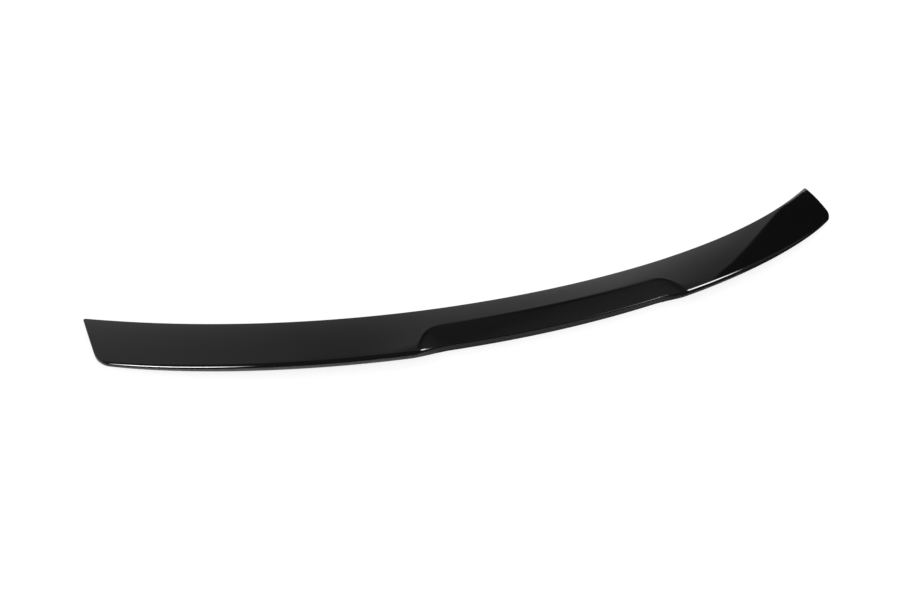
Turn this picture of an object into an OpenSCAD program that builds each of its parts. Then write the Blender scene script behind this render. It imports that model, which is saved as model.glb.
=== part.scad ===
// Car boot-lid lip spoiler with a scooped middle, moulded in one piece in gloss black plastic.
// It lies on the edge of its foot, as on a table. +Y is towards the car's front, X runs across the car.
// Each cross-section is a thin shell: crowned top skin, rounded lip and a rear face that leans under it.

/* [Outline] */
// Span across the leading edge
span = 1200; // [1000:10:1400]
// How far the tips of the leading edge sweep forward of its middle
bow = 109.5; // [70:0.5:140]
// Extra forward sweep that comes in near the tips
tip_sweep = 26; // [0:1:40]
// How far each end leans inwards from the leading edge to the lip
end_taper = 14.5; // [0:0.5:30]
// Plan radius of the trailing corners
corner_r = 15.5; // [6:0.5:24]
// Plan radius of the leading corners
tip_r = 5; // [1.5:0.1:6]

/* [Section] */
// Height of the leading edge's top over the foot, at the middle
front_h = 20.3; // [17:0.1:26]
// How much lower the leading edge is towards the tips
front_fall = 2.4; // [0:0.1:4]
// Extra fall of the leading edge close to the tips
tip_fall = 10.5; // [4:0.1:11]
// Depth from the leading edge to the foot, at the middle
foot_d = 68.3; // [56:0.1:74]
// Growth of that depth towards the tips
foot_flare = 1.1; // [0:0.1:8]
// Extra growth of that depth close to the tips
tip_flare = 16.7; // [0:0.1:18]
// Lean of the rear face, from upright
face_lean = 27.5; // [15:0.5:35]
// Crown of the top skin over a straight line from leading edge to lip
crown = 2.6; // [1:0.1:4]
// Crown at the tips
tip_crown = 2; // [0:0.1:3]
// Depth over which the crown is measured
crown_d = 75; // [65:1:85]
// Radius of the lip
lip_r = 4; // [2:0.1:5]

/* [Scoop] */
// Width of the scoop at the lip
scoop_w = 408; // [306:2:500]
// Width of the straight part of the scoop's front crease
scoop_front_w = 300; // [200:5:300]
// Distance from the leading edge to the front crease
scoop_front_d = 32; // [26:0.5:40]
// Depth of the scoop at the lip
scoop_h = 7.7; // [4:0.1:9]
// Distance over which the front crease is softened
crease_blend = 7; // [3:0.5:10]
// Radius of the lip in the scoop
scoop_lip_r = 1.4; // [1:0.1:2.4]
// Lean of the rear face under the scoop, from upright
scoop_lean = 15; // [8:0.5:30]
// How far the foot steps forward below the scoop
foot_step = 5.1; // [0:0.1:7]
// Width over which it steps forward at each end of the scoop
foot_step_w = 60; // [20:1:80]

/* [Shell] */
// Wall thickness
wall = 2.6; // [2:0.1:3.2]
// Thickness of the leading edge
edge_t = 2.4; // [1.8:0.1:3]
// Thickness of the foot
foot_t = 3.6; // [3:0.1:5]
// Height of the thickened foot
foot_band_h = 6; // [4:0.5:7]
// Width of the bonding land under the leading edge
land_w = 12; // [8:1:16]
// Distance from the leading edge to the bonding land
land_margin = 4; // [3:0.5:8]
// How far the bonding land stands proud of the underside
land_t = 0.8; // [0.4:0.1:1.2]
// Radius of the rim at each end
end_r = 1.2; // [0.6:0.1:1.5]

/* [Hidden] */

half_span = span / 2;
scoop_half = scoop_w / 2;
scoop_front_half = scoop_front_w / 2;
scoop_run = foot_d + tan(face_lean) * front_h - scoop_front_d;
foot_chamfer = foot_t / 6;
land_draft = land_t / 2;
inner_fillet = wall / 2;
wall_draft = wall / 4;
rim_arch = end_r / 3;
slope_step = edge_t / 4;

// Share of the foot's step that lies outside the scoop
step_out_share = 0.2;
// Powers that shape the rounded front corners of the scoop and the taper of the ends
scoop_corner_power = 3.3;
taper_power = 3;

// Where a section of the skin has its points: before the crease, across its blend and behind it
front_shares = [0.12, 0.3, 0.5, 0.7, 0.86];
blend_shares = [-1, -0.5, 0, 0.5, 1];
rear_shares = [0.25, 0.5, 0.75];
// The same for the underside, from the bonding land to the inner corner
under_front_shares = [0.3, 0.65];
under_blend_shares = [-1, 0, 1];
under_rear_shares = [0.33, 0.67];
// Least distance from the crease's line of points to the lip, as a share of the crease's blend
crease_room_share = 1.4;
// Steps of the front edge's half round and of the lip's arc
edge_steps = 6;
lip_steps = 8;
// Steps along one half of the span: plain middle, scoop's end, plain wing, trailing corner
middle_steps = 6;
scoop_end_steps = 24;
wing_steps = 15;
corner_steps = 7;
// Stations on the rim of an end, as shares of its radius from the outer face
rim_shares = [1, 0.5, 0.13, 0];
// Bisection steps that find where the rear face meets a skin
solve_steps = 24;

function share(x) = pow(x / half_span, 2);
function smooth(v) = let (u = min(1, max(0, v))) u * u * (3 - 2 * u);

// Leading edge in plan and in height
function front_y(x) = bow * share(x) + tip_sweep * pow(share(x), 2);
function front_z(x) = front_h - front_fall * share(x) - tip_fall * pow(share(x), 2);

// Depth of the scoop's crease at x: level across the front, then curving back past the lip
function crease_d(x) = let (side = max(0, abs(x) - scoop_front_half) / (scoop_half - scoop_front_half))
    scoop_front_d + scoop_run * pow(side, scoop_corner_power);
// A ramp that starts at v = 0, blended in on both sides
function ramp(v) = v < -crease_blend ? 0 : v > crease_blend ? v
    : pow(v + crease_blend, 2) / (4 * crease_blend);
function scoop_drop(x, d) = scoop_h / scoop_run * ramp(d - crease_d(x));
// Share of its full depth that the scoop has at the lip
function scooped(x) = ramp(scoop_front_d + scoop_run - crease_d(x)) / scoop_run;
function blended(plain, in_scoop, x) = plain + (in_scoop - plain) * scooped(x);

// Top skin at depth d behind the leading edge
function crown_at(x) = crown + (tip_crown - crown) * pow(share(x), 2);
function skin_z(x, d) = let (u = d / crown_d)
    front_z(x) + 4 * crown_at(x) * u * (1 - u) - scoop_drop(x, d) - end_drop(x);
function skin_slope(x, d) = (skin_z(x, d) - skin_z(x, d - slope_step)) / slope_step;

// How far a corner of radius r at the end of the span is rounded back at x
function rounding(x, r) = let (u = max(0, r - (half_span - abs(x)))) r - sqrt(max(0, r * r - u * u));
function end_drop(x) = rounding(x, end_r);
function edge_thickness(x) = edge_t - end_drop(x);

// Outer edge of the foot behind the leading edge, and the rear face that rises from it
function foot(x) = foot_d + foot_flare * share(x) + tip_flare * pow(share(x), 2) - rounding(x, corner_r)
    - foot_step * smooth((scoop_half - abs(x)) / foot_step_w + step_out_share);
function lean_angle(x) = blended(face_lean, scoop_lean, x);
function lean(x) = tan(lean_angle(x));

// Depth where the rear face, moved forward by back, meets the top skin lowered by down
function meet(x, back, down, low, high, n = solve_steps) =
    let (d = (low + high) / 2)
    n == 0 ? d
    : foot(x) - back + lean(x) * (skin_z(x, d) - down) > d ? meet(x, back, down, d, high, n - 1)
    : meet(x, back, down, low, d, n - 1);
function meeting(x, back, down) = meet(x, back, down, foot(x) - back, foot(x) + front_h);

function unit(v) = v / norm(v);

// Half round of the leading edge, from its underside to the skin
function edge_arc(x) = let (r = edge_thickness(x) / 2, d = rounding(x, tip_r))
    [for (i = [0:edge_steps]) let (a = 270 - 180 * i / edge_steps)
        [d + r + r * cos(a), skin_z(x, d) - r + r * sin(a)]];

// Arc of the lip, tangent to the skin and to the rear face
function lip_arc(x) =
    let (r = blended(lip_r, scoop_lip_r, x), d = meeting(x, 0, 0), corner = [d, skin_z(x, d)],
         along_skin = unit([-1, -skin_slope(x, d)]), along_face = unit([-lean(x), -1]),
         opening = acos(along_skin * along_face),
         centre = corner + unit(along_skin + along_face) * r / sin(opening / 2),
         start = corner + along_skin * r / tan(opening / 2) - centre)
    [for (i = [0:lip_steps]) let (a = -(180 - opening) * i / lip_steps)
        centre + [start[0] * cos(a) - start[1] * sin(a), start[0] * sin(a) + start[1] * cos(a)]];

// Depths of the points between two ends of a skin: its lines of points follow the scoop's crease
function depths(x, from, to, before, across, behind) =
    let (crease = min(crease_d(x), to - crease_room_share * crease_blend),
         blend_start = crease - crease_blend, blend_end = crease + crease_blend)
    concat([for (s = before) from + s * (blend_start - from)],
           [for (s = across) crease + s * crease_blend],
           [for (s = behind) blend_end + s * (to - blend_end)]);

function outer(x) = let (edge = edge_arc(x), lip = lip_arc(x),
        top = depths(x, edge[edge_steps][0], lip[0][0], front_shares, blend_shares, rear_shares))
    concat(edge, [for (d = top) [d, skin_z(x, d)]], lip,
        [[foot(x) + lean(x) * foot_chamfer, foot_chamfer], [foot(x) - foot_chamfer, 0]]);

// Underside from the inner edge of the foot up the rear face and forward to the bonding land
function inner(x) =
    let (heel = foot(x) - foot_t, back = wall / cos(lean_angle(x)), face = foot(x) - back,
         d = meeting(x, back, wall), z = skin_z(x, d) - wall, band = min(foot_band_h, z / 2),
         start = edge_thickness(x) / 2 + land_margin, end = start + land_w, thick = wall + land_t,
         under = depths(x, end + land_draft, d - inner_fillet,
             under_front_shares, under_blend_shares, under_rear_shares))
    concat(
        [[heel, 0], [heel + lean(x) * band, band],
         [face + lean(x) * (band + land_draft), band + land_draft],
         [d - lean(x) * inner_fillet, z - inner_fillet],
         [d - inner_fillet, skin_z(x, d - inner_fillet) - wall]],
        [for (i = [len(under) - 1:-1:0]) [under[i], skin_z(x, under[i]) - wall]],
        [[end + land_draft, skin_z(x, end + land_draft) - wall], [end, skin_z(x, end) - thick],
         [start, skin_z(x, start) - thick], [start - land_draft, skin_z(x, start - land_draft) - edge_t]]);

// The same points drawn out along the slightly arched lower rim of an end wall
function closed(x, count) =
    let (heel = [foot(x) - foot_t, 0], toe = edge_arc(x)[0])
    [for (i = [0:count - 1]) let (s = i / count) heel + (toe - heel) * s + [0, rim_arch * 4 * s * (1 - s)]];

function section(x, hollow) = let (under = inner(x))
    concat(outer(x), hollow ? under : closed(x, len(under)));

// Stations along one half: even steps, then equal angles round the trailing corner, then the rim
function steps(from, to, n) = [for (i = [1:n]) from + (to - from) * i / n];
scoop_start = scoop_front_half - crease_blend;
scoop_end = scoop_half + crease_blend;
corner_start = half_span - corner_r;
wall_start = half_span - wall;
hollow_stations = concat(
    steps(0, scoop_start, middle_steps),
    steps(scoop_start, scoop_end, scoop_end_steps),
    steps(scoop_end, corner_start, wing_steps),
    [for (i = [1:corner_steps - 1]) let (x = corner_start + corner_r * sin(90 * i / corner_steps))
        if (x < wall_start - wall_draft) x],
    [wall_start - wall_draft]);
closed_stations = concat([wall_start], [for (s = rim_shares) half_span - s * end_r]);
right_side = concat([for (x = hollow_stations) [x, true]], [for (x = closed_stations) [x, false]]);
left_side = [for (i = [len(right_side) - 1:-1:0]) [-right_side[i][0], right_side[i][1]]];
stations = concat(left_side, [[0, true]], right_side);

// The origin lies midway between the foremost point of the leading corners and the back of the lip
tip_y = max([for (s = stations) front_y(s[0]) - edge_arc(s[0])[edge_steps / 2][0]]);
middle_d = max([for (p = lip_arc(0)) p[0]]);
origin_y = (tip_y - middle_d) / 2;

// A section's points in space: towards the ends its plane turns so that the outline tapers inwards
function placed(x, hollow) =
    let (turn = end_taper / crown_d * pow(share(x), taper_power) * sign(x))
    [for (p = section(x, hollow)) [x - turn * p[0], front_y(x) - p[0] - origin_y, p[1]]];

// Skins a row of closed loops of points into one closed surface
module sweep(loops) {
    count = len(loops[0]);
    last = len(loops) - 1;
    points = [for (loop = loops) each loop];
    sides = [for (i = [0:last - 1], j = [0:count - 1])
        let (a = i * count + j, b = i * count + (j + 1) % count)
        each [[a, b + count, b], [a, a + count, b + count]]];
    caps = [[for (j = [0:count - 1]) j], [for (j = [count - 1:-1:0]) last * count + j]];
    polyhedron(points, concat(sides, caps), convexity = 8);
}

module spoiler_blade() {
    color([0.02, 0.02, 0.022])
        sweep([for (s = stations) placed(s[0], s[1])]);
}

spoiler_blade();
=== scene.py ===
import math

import bmesh
import bpy
from bpy.props import FloatProperty, FloatVectorProperty, IntProperty, PointerProperty
from mathutils import Matrix, Vector
from mathutils.bvhtree import BVHTree


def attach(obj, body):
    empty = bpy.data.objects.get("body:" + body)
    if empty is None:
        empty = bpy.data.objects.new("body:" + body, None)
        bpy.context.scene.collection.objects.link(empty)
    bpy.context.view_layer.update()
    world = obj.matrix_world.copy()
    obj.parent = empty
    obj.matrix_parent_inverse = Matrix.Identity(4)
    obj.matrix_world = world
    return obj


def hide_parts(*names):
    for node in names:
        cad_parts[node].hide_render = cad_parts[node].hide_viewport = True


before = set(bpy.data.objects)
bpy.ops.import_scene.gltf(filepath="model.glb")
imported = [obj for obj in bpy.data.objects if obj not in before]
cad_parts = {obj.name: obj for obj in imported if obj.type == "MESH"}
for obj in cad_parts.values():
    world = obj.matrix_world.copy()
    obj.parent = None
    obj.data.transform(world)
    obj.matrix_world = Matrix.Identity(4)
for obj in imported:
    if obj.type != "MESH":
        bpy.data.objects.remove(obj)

bl_info = {
    "name": "Boot-Lid Lip Spoiler",
    "version": (1, 0, 0),
    "blender": (4, 5, 0),
    "location": "3D View > Sidebar > Lip Spoiler",
    "description": "Dresses a moulded lip spoiler in gloss black and sets up its studio",
    "category": "Object",
}

# The picture's width and the camera's focal length, in the picture's pixels
PICTURE_WIDTH = 920
FOCAL_PIXELS = 699.6

# Points of the CAD mesh that are closer than this become one point
MERGE_DISTANCE = 0.000002
# Pairs of triangles that fold and skew by less than these angles become four-sided faces
JOIN_FOLD = math.radians(30)
JOIN_SKEW = math.radians(120)
# The rays that look for cover start this far off a face
PROBE_GAP = 0.0001

PLASTIC_IOR = 1.5
# The lacquer's colour and roughness vary between these shares of their means, in patches
LACQUER_SHADES = (0.85, 1.15)
LACQUER_ROUGHNESS = (0.7, 1.3)
LACQUER_PATCHES = 9.0
# The underside's colour varies in patches too, and its roughness with the patches and the grain
UNDERSIDE_SHADES = (0.8, 1.25)
UNDERSIDE_PATCHES = 14.0
UNDERSIDE_ROUGHNESS = 0.38
PATCH_ROUGHNESS = 0.12
GRAIN_ROUGHNESS = 0.06

WHITE = (1, 1, 1)
# The floor lies this far under the foot, so that the two share no plane
FLOOR_DROP = 0.0002
# The floor's glow and matt white together come to this, so that it shows as full white
FLOOR_TOTAL = 1.05
# In reflections the floor carries painted light: painted white beside the foot and painted shade
# further off. The white follows the line y = FOOT_Y + FOOT_BOW * x * x and starts to fade
# FOOT_WHITE behind it. Along x it loses a share between the two places of each entry of
# FLOOR_LOSSES, and ends between those of FLOOR_END.
FOOT_Y = -0.0964
FOOT_BOW = 0.3
FOOT_WHITE = 0.003
FLOOR_LOSSES = ((-0.27, -0.15, 0.6), (-0.05, 0.08, 0.1))
FLOOR_END = (0.3, 0.38)
# Level of the painted shade on the floor away from the foot, seen only in reflections
FLOOR_PAINTED_SHADE = 0.03

# The studio that the gloss mirrors, in degrees: azimuth from the car's front to the right, and
# height over the horizon. Its wall and ceiling are pairs of azimuth and level.
WALL_LEVELS = (
    (-180, 0.06), (-110, 0.08), (-60, 0.5), (-40, 0.6), (-25, 0.58), (-12, 0.53), (-2, 0.47),
    (5, 0.4), (12, 0.41), (16, 0.5), (19, 0.6), (25, 0.68), (31, 0.77), (37, 0.92), (60, 0.92),
    (110, 0.1), (180, 0.06))
CEILING_LEVELS = (
    (-180, 0.06), (-120, 0.08), (-60, 0.2), (10, 0.2), (35, 0.12), (48, 0.11), (57, 0.19),
    (70, 0.28), (90, 0.25), (130, 0.1), (180, 0.06))
# All of the studio's levels are multiplied by this
ROOM_GREY = (0.8, 0.8, 0.8)

# The wall's right edge passes EDGE_AZIMUTH at EDGE_HEIGHT, and leans and bows to the right above
EDGE_HEIGHT = 20
EDGE_AZIMUTH = 46.7
EDGE_LEAN = 0.3
EDGE_BOW = 0.013
EDGE_SOFTNESS = 0.3
# Pairs of degrees from that edge and the share of the wall's level that is left there
EDGE_FADE = (
    (0, 0.34), (2.4, 0.34), (4.4, 0.41), (7.6, 0.53), (10.4, 0.67), (12.4, 0.77), (14, 0.87),
    (17, 1))
EDGE_FADE_END = 20

# The wall's top is lowest at TOP_AZIMUTH and rises to the left of it, up to TOP_LIMIT
TOP_AZIMUTH = 57
TOP_HEIGHT = 44
TOP_RISE = 0.0115
TOP_LIMIT = 62
TOP_SOFTNESS = 4

# Low down the wall is brighter, by RIGHT_GAIN on its right and by LOW_GAIN on its left
RIGHT_GAIN = 0.25
RIGHT_GAIN_AZIMUTHS = (20, 30)
RIGHT_GAIN_HEIGHTS = (24, 36)
LOW_GAIN = 0.5
LOW_GAIN_LOSSES = ((-35, -5, 0.2), (14, 30, 0.3))
LOW_GAIN_HEIGHTS = (28, 54)

# The ceiling fades in between these heights, and CEILING_DROP lower for each degree to the right
# of CEILING_CORNER
CEILING_HEIGHTS = (50, 58)
CEILING_CORNER = 45
CEILING_DROP = 0.8

# A bright band lies low beside the wall's edge. Its top passes BAND_TOP at BAND_AZIMUTH and falls
# to the right by BAND_FALL for each degree.
BAND_LEVEL = 1.4
BAND_AZIMUTH = 47
BAND_FALL = 0.5
BAND_TOP = (19.2, 19.8)
BAND_END = (54, 60)

# The first lamp is low and gives the left lip its highlight. The second is high on the right, for
# the right lip's highlight and the glint at the scoop's corner. The third is the faint light over
# it, for the thin line on the scoop's lip. A slant lowers the bottom for each degree of azimuth.
LAMPS = (
    dict(left=-153, right=-117, soft_sides=10,
         bottom=-4, top=18, soft_edges=4, slant=0, level=56),
    dict(left=75, right=123, soft_sides=5,
         bottom=66.2, top=50.5, soft_edges=3, slant=0.3, level=25),
    dict(left=71, right=125, soft_sides=5,
         bottom=50, top=61, soft_edges=2, slant=0, level=2.2),
)


# Node building

class Wire:
    """An output socket of a node tree that sums and products can be written with."""

    def __init__(self, tree, socket):
        self.tree = tree
        self.socket = socket

    def maths(self, operation, *values):
        return self.tree.node("ShaderNodeMath", {"operation": operation}, dict(enumerate(values)))

    def __add__(self, other):
        return self.maths("ADD", self, other)

    def __radd__(self, other):
        return self.maths("ADD", other, self)

    def __sub__(self, other):
        return self.maths("SUBTRACT", self, other)

    def __rsub__(self, other):
        return self.maths("SUBTRACT", other, self)

    def __mul__(self, other):
        return self.maths("MULTIPLY", self, other)

    def __rmul__(self, other):
        return self.maths("MULTIPLY", other, self)

    def at_least(self, low):
        return self.maths("MAXIMUM", self, low)

    def at_most(self, high):
        return self.maths("MINIMUM", self, high)


class Tree:
    """The nodes of a material or a world."""

    def __init__(self, owner):
        owner.use_nodes = True
        self.tree = owner.node_tree
        self.tree.nodes.clear()

    def node(self, kind, settings=None, values=None, output=0):
        """Adds a node with its settings and its sockets' values or links, and gives an output."""
        made = self.tree.nodes.new(kind)
        for name, value in (settings or {}).items():
            if name == "stops":
                self.set_stops(made.color_ramp, value)
            else:
                setattr(made, name, value)
        for name, value in (values or {}).items():
            if isinstance(value, Wire):
                self.tree.links.new(value.socket, made.inputs[name])
            else:
                made.inputs[name].default_value = value
        return Wire(self, made.outputs[output]) if made.outputs else made

    @staticmethod
    def set_stops(ramp, stops):
        """Gives a ramp its stops, each a place from 0 to 1 and a grey level."""
        while len(ramp.elements) > 1:
            ramp.elements.remove(ramp.elements[-1])
        for i, (place, level) in enumerate(stops):
            stop = ramp.elements[0] if i == 0 else ramp.elements.new(place)
            stop.position = place
            stop.color = (level, level, level, 1)

    def levels(self, value, stops):
        """The grey level of a ramp at a value from 0 to 1."""
        return self.node("ShaderNodeValToRGB", {"stops": stops}, {0: value})

    def step(self, value, low, high, smooth=True):
        """Goes from 0 at low to 1 at high."""
        kind = "SMOOTHSTEP" if smooth else "LINEAR"
        return self.node("ShaderNodeMapRange", {"interpolation_type": kind},
                         {"Value": value, "From Min": low, "From Max": high})

    def fade(self, value, low, high, smooth=True):
        """Goes from 1 at low to 0 at high."""
        return 1 - self.step(value, low, high, smooth)

    def less(self, level, value, losses):
        """The level, less a share from each low to each high of the value."""
        for low, high, share in losses:
            level = level - share * self.step(value, low, high)
        return level

    def blend(self, factor, first, second):
        """Goes from the first colour to the second as factor goes from 0 to 1."""
        return self.node("ShaderNodeMix", {"data_type": "RGBA"}, {
            "Factor": factor, 6: (*first, 1), 7: (*second, 1)}, output=2)

    def mix(self, factor, first, second):
        """Goes from the first shader to the second as factor goes from 0 to 1."""
        return self.node("ShaderNodeMixShader", {}, {0: factor, 1: first, 2: second})

    def split(self, vector, count):
        """A vector's first coordinates."""
        return [self.node("ShaderNodeSeparateXYZ", {}, {0: vector}, output=i)
                for i in range(count)]

    def ray(self, kind):
        """1 for the rays of a kind, such as Is Camera Ray."""
        return self.node("ShaderNodeLightPath", output=kind)

    def noise(self, coordinates, scale, detail=2.0, roughness=0.5):
        return self.node("ShaderNodeTexNoise", {}, {
            "Vector": coordinates, "Scale": scale, "Detail": detail, "Roughness": roughness})

    def bump(self, height, distance):
        return self.node("ShaderNodeBump", {}, {
            "Height": height, "Distance": distance, "Strength": 1.0})


# What a user would change

class BladeSettings(bpy.types.PropertyGroup):
    """The blade's surface and finish."""

    colour: FloatVectorProperty(
        name="Colour", description="Colour of the lacquered skin", subtype="COLOR",
        size=3, min=0, max=1, default=(0.0048, 0.0048, 0.005))
    gloss_roughness: FloatProperty(
        name="Gloss", description="Mean roughness of the lacquered skin", subtype="FACTOR",
        min=0, max=1, default=0.045)
    peel_size: FloatProperty(
        name="Orange Peel Size", description="Width of one ripple in the lacquer",
        subtype="DISTANCE", unit="LENGTH", min=0.0002, max=0.02, default=0.0025)
    peel_depth: FloatProperty(
        name="Orange Peel Depth", description="Height of the ripples in the lacquer",
        subtype="DISTANCE", unit="LENGTH", min=0, max=0.0001, default=0.0000012)
    underside_colour: FloatVectorProperty(
        name="Underside Colour", description="Colour of the bare moulding underneath",
        subtype="COLOR", size=3, min=0, max=1, default=(0.011, 0.011, 0.0115))
    grain_size: FloatProperty(
        name="Grain Size", description="Width of one grain of the mould's texture underneath",
        subtype="DISTANCE", unit="LENGTH", min=0.0001, max=0.01, default=0.0007)
    grain_depth: FloatProperty(
        name="Grain Depth", description="Depth of the mould's texture underneath",
        subtype="DISTANCE", unit="LENGTH", min=0, max=0.0005, default=0.00004)
    crease_angle: FloatProperty(
        name="Crease Angle", description="Edges that fold by more than this stay sharp",
        subtype="ANGLE", unit="ROTATION", min=math.radians(10), max=math.pi,
        default=math.radians(36))
    smoothing: IntProperty(
        name="Smoothing", description="Levels of subdivision of the blade's surface",
        min=0, max=2, default=2)


class StageSettings(bpy.types.PropertyGroup):
    """The studio and the camera."""

    floor_size: FloatProperty(
        name="Floor Size", description="Side of the square floor",
        subtype="DISTANCE", unit="LENGTH", min=2, max=100, default=40)
    floor_glow: FloatProperty(
        name="Floor Glow", description="Share of the floor's white that no shadow takes away",
        subtype="FACTOR", min=0, max=1, default=0.8)
    # Level of the painted light on the floor beside the foot, seen only in reflections
    floor_white_and_painted_light: FloatProperty(
        name="Floor White", description="White of the floor near the foot in reflections",
        subtype="FACTOR", min=0, max=1, default=0.95)
    # Width of that painted light behind the foot; beyond it the floor has painted shade in
    # reflections
    painted_light_margin: FloatProperty(
        name="Sheet Margin",
        description="How far behind the foot the floor's white reaches in reflections",
        subtype="DISTANCE", unit="LENGTH", min=0.005, max=1, default=0.014)
    plain_light: FloatProperty(
        name="Plain Light", description="Strength of the even light from all round",
        min=0, max=4, default=1)
    aim: FloatVectorProperty(
        name="Camera Aim", description="Point that the camera looks at", subtype="TRANSLATION",
        unit="LENGTH", size=3, default=(-0.11535, -0.01155, 0))
    distance: FloatProperty(
        name="Camera Distance", description="Distance from the camera to its aim",
        subtype="DISTANCE", unit="LENGTH", min=0.1, max=20, default=0.98574)
    azimuth: FloatProperty(
        name="Camera Azimuth",
        description="Turn of the camera round the blade, from straight behind",
        subtype="ANGLE", unit="ROTATION", default=math.radians(-23.99))
    elevation: FloatProperty(
        name="Camera Elevation", description="Height of the camera over the horizon",
        subtype="ANGLE", unit="ROTATION", default=math.radians(42.05))
    roll: FloatProperty(
        name="Camera Roll", description="Turn of the camera about its line of sight",
        subtype="ANGLE", unit="ROTATION", default=math.radians(4.89))
    field_of_view: FloatProperty(
        name="Field of View", description="Angle across the picture's width",
        subtype="ANGLE", unit="ROTATION", min=math.radians(5), max=math.radians(150),
        default=2 * math.atan(PICTURE_WIDTH / 2 / FOCAL_PIXELS))


# The blade

def covered(tree, face):
    """True where a face looks down and is hidden from straight above and from straight behind."""
    if face.normal.z > 0:
        return False
    start = face.calc_center_median() + face.normal * PROBE_GAP
    return all(tree.ray_cast(start, Vector(way))[0] is not None
               for way in ((0, 0, 1), (0, -1, 0)))


def shaded(tree, factor, colour, shares):
    """Goes from the first to the second share of a colour as factor goes from 0 to 1."""
    return tree.blend(factor, *[[c * share for c in colour] for share in shares])


def plastic(tree, colour, roughness, relief):
    """Ends a material's tree in plastic of this colour, roughness and relief."""
    shader = tree.node("ShaderNodeBsdfPrincipled", {}, {
        "Base Color": colour, "Roughness": roughness, "IOR": PLASTIC_IOR, "Normal": relief})
    tree.node("ShaderNodeOutputMaterial", {}, {"Surface": shader})


def gloss_black(settings):
    """Black lacquer with a faint orange peel and slightly uneven gloss."""
    material = bpy.data.materials.new("gloss_black_skin")
    tree = Tree(material)
    place = tree.node("ShaderNodeTexCoord", output="Object")
    peel = tree.noise(place, 1 / settings.peel_size, detail=1.0)
    patches = tree.noise(place, LACQUER_PATCHES, detail=3.0, roughness=0.6)
    glossy, dull = [settings.gloss_roughness * share for share in LACQUER_ROUGHNESS]
    plastic(tree,
            colour=shaded(tree, patches, settings.colour, LACQUER_SHADES),
            roughness=glossy + patches * (dull - glossy),
            relief=tree.bump(peel, settings.peel_depth))
    return material


def moulded_black(settings):
    """Bare black plastic with the fine grain of its mould."""
    material = bpy.data.materials.new("moulded_underside")
    tree = Tree(material)
    place = tree.node("ShaderNodeTexCoord", output="Object")
    grain = tree.noise(place, 1 / settings.grain_size, detail=3.0, roughness=0.6)
    patches = tree.noise(place, UNDERSIDE_PATCHES)
    plastic(tree,
            colour=shaded(tree, patches, settings.underside_colour, UNDERSIDE_SHADES),
            roughness=UNDERSIDE_ROUGHNESS + patches * PATCH_ROUGHNESS + grain * GRAIN_ROUGHNESS,
            relief=tree.bump(grain, settings.grain_depth))
    return material


class SPOILER_OT_blade(bpy.types.Operator):
    """Smooth and lacquer the blade"""

    bl_idname = "spoiler.blade"
    bl_label = "Blade"
    bl_options = {"REGISTER", "UNDO"}

    def execute(self, context):
        settings = context.scene.spoiler_blade
        shape = bmesh.new()
        shape.from_mesh(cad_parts["spoiler_blade"].data)
        bmesh.ops.remove_doubles(shape, verts=shape.verts[:], dist=MERGE_DISTANCE)
        bmesh.ops.join_triangles(
            shape, faces=shape.faces[:], angle_face_threshold=JOIN_FOLD,
            angle_shape_threshold=JOIN_SKEW)
        tree = BVHTree.FromBMesh(shape)
        for face in shape.faces:
            face.smooth = True
            face.material_index = int(covered(tree, face))
        crease = shape.edges.layers.float.new("crease_edge")
        for edge in shape.edges:
            if edge.calc_face_angle(0) > settings.crease_angle:
                edge.smooth = False
                edge[crease] = 1
        mesh = bpy.data.meshes.new("blade")
        shape.to_mesh(mesh)
        shape.free()
        mesh.materials.append(gloss_black(settings))
        mesh.materials.append(moulded_black(settings))
        blade = bpy.data.objects.new("blade", mesh)
        context.scene.collection.objects.link(blade)
        if settings.smoothing:
            smooth = blade.modifiers.new("smoothing", "SUBSURF")
            smooth.levels = smooth.render_levels = settings.smoothing
        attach(blade, "root")
        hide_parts("spoiler_blade")
        return {"FINISHED"}


# The studio

def white_floor_with_painted_light(settings):
    """White with the blade's soft shadow for the camera, matt with painted light and shade for the
    gloss, and clear otherwise.
    """
    material = bpy.data.materials.new("floor_white_and_painted_light")
    tree = Tree(material)
    glow = tree.node("ShaderNodeEmission", {}, {
        "Color": (*WHITE, 1), "Strength": settings.floor_glow})
    matt = tree.node("ShaderNodeBsdfDiffuse", {}, {
        "Color": (*[FLOOR_TOTAL - settings.floor_glow] * 3, 1)})
    shown = tree.node("ShaderNodeAddShader", {}, {0: glow, 1: matt})

    # Painted light and shade for reflections: the floor's colour is painted white beside the foot
    # and dark further off
    x, y = tree.split(tree.node("ShaderNodeTexCoord", output="Object"), 2)
    behind_foot = FOOT_Y + FOOT_BOW * x * x - y
    along = tree.less(1, x, FLOOR_LOSSES) * tree.fade(x, *FLOOR_END)
    white = tree.fade(behind_foot, FOOT_WHITE, settings.painted_light_margin) * along
    painted_light_tone = tree.blend(white, [FLOOR_PAINTED_SHADE] * 3, [settings.floor_white_and_painted_light] * 3)
    painted_mirror_floor = tree.node("ShaderNodeBsdfDiffuse", {}, {"Color": painted_light_tone})

    direct, glossy = tree.ray("Is Camera Ray"), tree.ray("Is Glossy Ray")
    below = tree.node("ShaderNodeNewGeometry", output="Backfacing")
    clear = tree.node("ShaderNodeBsdfTransparent")
    shader = tree.mix((direct + glossy) * (1 - below), clear, tree.mix(direct, painted_mirror_floor, shown))
    tree.node("ShaderNodeOutputMaterial", {}, {"Surface": shader})
    return material


def by_azimuth(tree, azimuth, levels):
    """The level at an azimuth, from pairs of azimuth and level."""
    turn = azimuth * (1 / 360) + 0.5
    return tree.levels(turn, [(angle / 360 + 0.5, level) for angle, level in levels])


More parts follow.
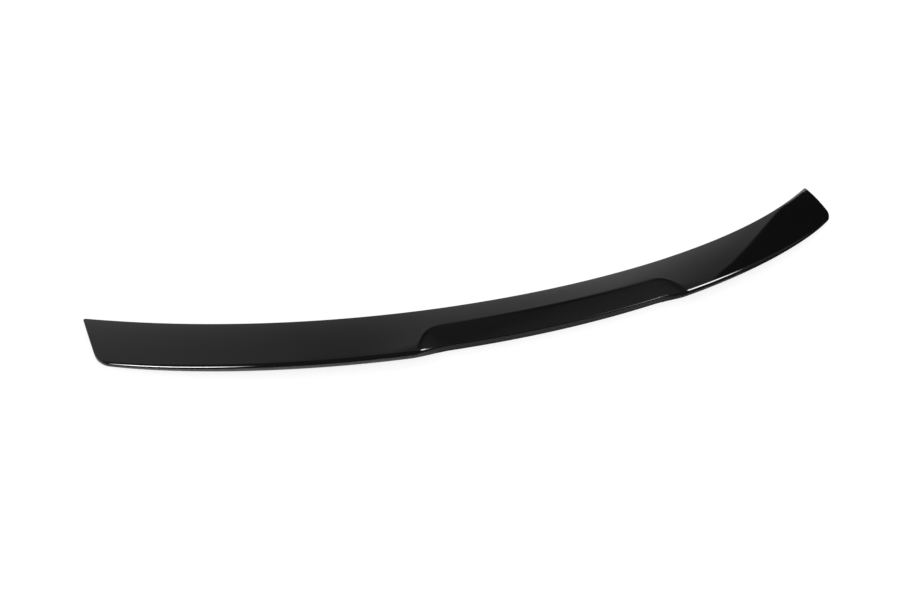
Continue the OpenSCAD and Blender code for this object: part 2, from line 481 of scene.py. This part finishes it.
def wall_light(tree, azimuth, height, gap):
    """The level of the wall: dimmer near its right edge and brighter low down."""
    level = by_azimuth(tree, azimuth, WALL_LEVELS) * tree.levels(
        gap * (1 / EDGE_FADE_END), [(degrees / EDGE_FADE_END, left) for degrees, left in EDGE_FADE])
    right = tree.step(azimuth, *RIGHT_GAIN_AZIMUTHS) * tree.fade(height, *RIGHT_GAIN_HEIGHTS)
    low = tree.fade(height, *LOW_GAIN_HEIGHTS, smooth=False)
    gain = tree.less(LOW_GAIN, azimuth, LOW_GAIN_LOSSES)
    return level * (1 + RIGHT_GAIN * right) * (1 + low * low * gain)


def wall_shown(tree, azimuth, height, within):
    """1 where the wall is, between its right edge and its top."""
    aside = (TOP_AZIMUTH - azimuth).at_least(0)
    top = (TOP_HEIGHT + TOP_RISE * aside * aside).at_most(TOP_LIMIT)
    return within * tree.fade(height - top, -TOP_SOFTNESS, TOP_SOFTNESS)


def ceiling_light(tree, azimuth, height):
    """The level of the ceiling, and 0 under it."""
    drop = CEILING_DROP * (azimuth - CEILING_CORNER).at_least(0)
    return by_azimuth(tree, azimuth, CEILING_LEVELS) * tree.step(height + drop, *CEILING_HEIGHTS)


def band_light(tree, azimuth, height, within):
    """The level of the low band to the right of the wall's edge."""
    low = tree.fade(height + BAND_FALL * (azimuth - BAND_AZIMUTH), *BAND_TOP)
    return BAND_LEVEL * low * (1 - within) * tree.fade(azimuth, *BAND_END)


def lamp_light(tree, azimuth, height, left, right, soft_sides, bottom, top, soft_edges, slant,
               level):
    """The level of a lamp with soft edges, whose bottom falls by slant for each degree."""
    across = (tree.step(azimuth, left, left + soft_sides)
              * tree.fade(azimuth, right - soft_sides, right))
    over = tree.step(height + slant * azimuth, bottom, bottom + soft_edges)
    return level * across * over * tree.fade(height, top - soft_edges, top)


def room_light(tree):
    """The level of the studio in each direction, as the gloss mirrors it."""
    x, y, z = tree.split(tree.node("ShaderNodeTexCoord", output="Generated"), 3)
    azimuth = x.maths("ARCTAN2", x, y) * math.degrees(1)
    height = z.maths("ARCSINE", z) * math.degrees(1)
    climb = height - EDGE_HEIGHT
    gap = EDGE_AZIMUTH + EDGE_LEAN * climb + EDGE_BOW * climb * climb - azimuth
    within = tree.step(gap, -EDGE_SOFTNESS, EDGE_SOFTNESS)
    shown = wall_shown(tree, azimuth, height, within)
    room = (wall_light(tree, azimuth, height, gap) * shown
            + ceiling_light(tree, azimuth, height) * (1 - shown)
            + band_light(tree, azimuth, height, within))
    for lamp in LAMPS:
        room = room + lamp_light(tree, azimuth, height, **lamp)
    return room


def studio_world(settings):
    """White for the camera, the studio for the gloss, and even light for everything else."""
    world = bpy.data.worlds.new("studio")
    tree = Tree(world)
    studio, even, white = [
        tree.node("ShaderNodeBackground", {}, {"Color": (*colour, 1), "Strength": strength})
        for colour, strength in (
            (ROOM_GREY, room_light(tree)), (WHITE, settings.plain_light), (WHITE, 1.0))]
    lit = tree.mix(tree.ray("Is Glossy Ray"), even, studio)
    seen = tree.mix(tree.ray("Is Camera Ray"), lit, white)
    tree.node("ShaderNodeOutputWorld", {}, {"Surface": seen})
    world.cycles.sampling_method = "NONE"
    return world


def camera_place(settings):
    """The camera's place and turn, from its aim, distance, angles and roll."""
    azimuth, elevation, roll = settings.azimuth, settings.elevation, settings.roll
    back = Vector((math.sin(azimuth) * math.cos(elevation),
                   -math.cos(azimuth) * math.cos(elevation), math.sin(elevation)))
    right = Vector((math.cos(azimuth), math.sin(azimuth), 0))
    up = back.cross(right)
    rolled = right * math.cos(roll) + up * math.sin(roll)
    turn = Matrix((rolled, back.cross(rolled), back)).transposed()
    return Matrix.Translation(Vector(settings.aim) + back * settings.distance) @ turn.to_4x4()


class SPOILER_OT_stage(bpy.types.Operator):
    """Set up the camera, the floor and the studio light"""

    bl_idname = "spoiler.stage"
    bl_label = "Stage"
    bl_options = {"REGISTER", "UNDO"}

    def execute(self, context):
        scene = context.scene
        settings = scene.spoiler_stage
        lens = bpy.data.cameras.new("camera")
        lens.sensor_fit = "HORIZONTAL"
        lens.angle = settings.field_of_view
        lens.clip_start = 0.01
        camera = bpy.data.objects.new("camera", lens)
        camera.matrix_world = camera_place(settings)
        scene.collection.objects.link(camera)
        scene.camera = camera

        shape = bmesh.new()
        bmesh.ops.create_grid(shape, x_segments=1, y_segments=1, size=settings.floor_size / 2)
        bmesh.ops.translate(shape, verts=shape.verts[:], vec=(0, 0, -FLOOR_DROP))
        mesh = bpy.data.meshes.new("floor")
        shape.to_mesh(mesh)
        shape.free()
        mesh.materials.append(white_floor_with_painted_light(settings))
        floor = bpy.data.objects.new("floor", mesh)
        scene.collection.objects.link(floor)

        scene.world = studio_world(settings)
        scene.view_settings.view_transform = "Standard"
        return {"FINISHED"}


class SPOILER_PT_panel(bpy.types.Panel):
    """The lip spoiler's pieces and settings"""

    bl_idname = "SPOILER_PT_panel"
    bl_label = "Lip Spoiler"
    bl_space_type = "VIEW_3D"
    bl_region_type = "UI"
    bl_category = "Lip Spoiler"

    def draw(self, context):
        scene = context.scene
        for operator, settings in (
                (SPOILER_OT_stage, scene.spoiler_stage), (SPOILER_OT_blade, scene.spoiler_blade)):
            box = self.layout.box()
            box.operator(operator.bl_idname)
            for name in settings.__annotations__:
                box.prop(settings, name)


CLASSES = (BladeSettings, StageSettings, SPOILER_OT_stage, SPOILER_OT_blade, SPOILER_PT_panel)


def register():
    for made in CLASSES:
        bpy.utils.register_class(made)
    bpy.types.Scene.spoiler_blade = PointerProperty(type=BladeSettings)
    bpy.types.Scene.spoiler_stage = PointerProperty(type=StageSettings)


def unregister():
    del bpy.types.Scene.spoiler_stage
    del bpy.types.Scene.spoiler_blade
    for made in reversed(CLASSES):
        bpy.utils.unregister_class(made)


def main():
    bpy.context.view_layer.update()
    register()
    bpy.ops.spoiler.stage()
    bpy.ops.spoiler.blade()


if __name__ == "__main__":
    main()
